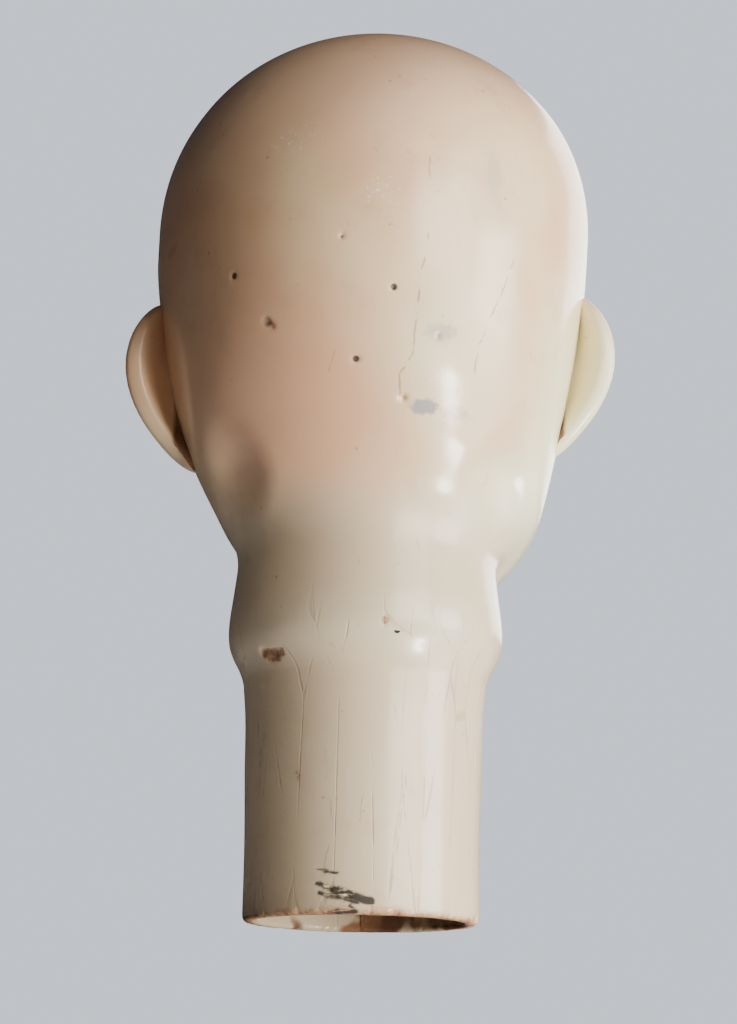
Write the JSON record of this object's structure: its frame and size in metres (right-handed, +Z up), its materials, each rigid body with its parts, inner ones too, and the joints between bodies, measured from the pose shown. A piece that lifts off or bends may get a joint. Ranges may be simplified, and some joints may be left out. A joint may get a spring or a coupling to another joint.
{
  "type": "mannequin training head",
  "caption": "Hollow bald mannequin head on an open tubular neck with a collar, for hairdressing practice and wig work; two bonded shells on a separate neck tube, set-in ears and a bored block in the neck.",
  "frame": {"origin": "centre of the neck's open rim, in the plane of the rim on which the head stands", "axes": "+Z up the neck's axis to the crown, face looking along -Y, the head's own left ear on +X"},
  "size_m": [0.171, 0.2017, 0.3169],
  "materials": {
    "enamel": "aged satin enamel on moulded composition",
    "glass_tape": "resin-soaked woven tape",
    "beech": "bare turned wood",
    "bush_steel": "turned, dull",
    "screw_steel": "dull zinc",
    "nail_steel": "dark, rusted"
  },
  "bodies": {
    "root": {"face_shell": "enamel", "back_shell": "enamel", "neck_tube": "enamel", "left_ear": "enamel", "right_ear": "enamel", "left_seam_strip": "glass_tape", "right_seam_strip": "glass_tape", "crown_seam_strip": "glass_tape", "neck_block": "beech", "peg_bush": "bush_steel", "bush_screws": "screw_steel", "block_nails": "nail_steel"}
  },
  "joints": []
}
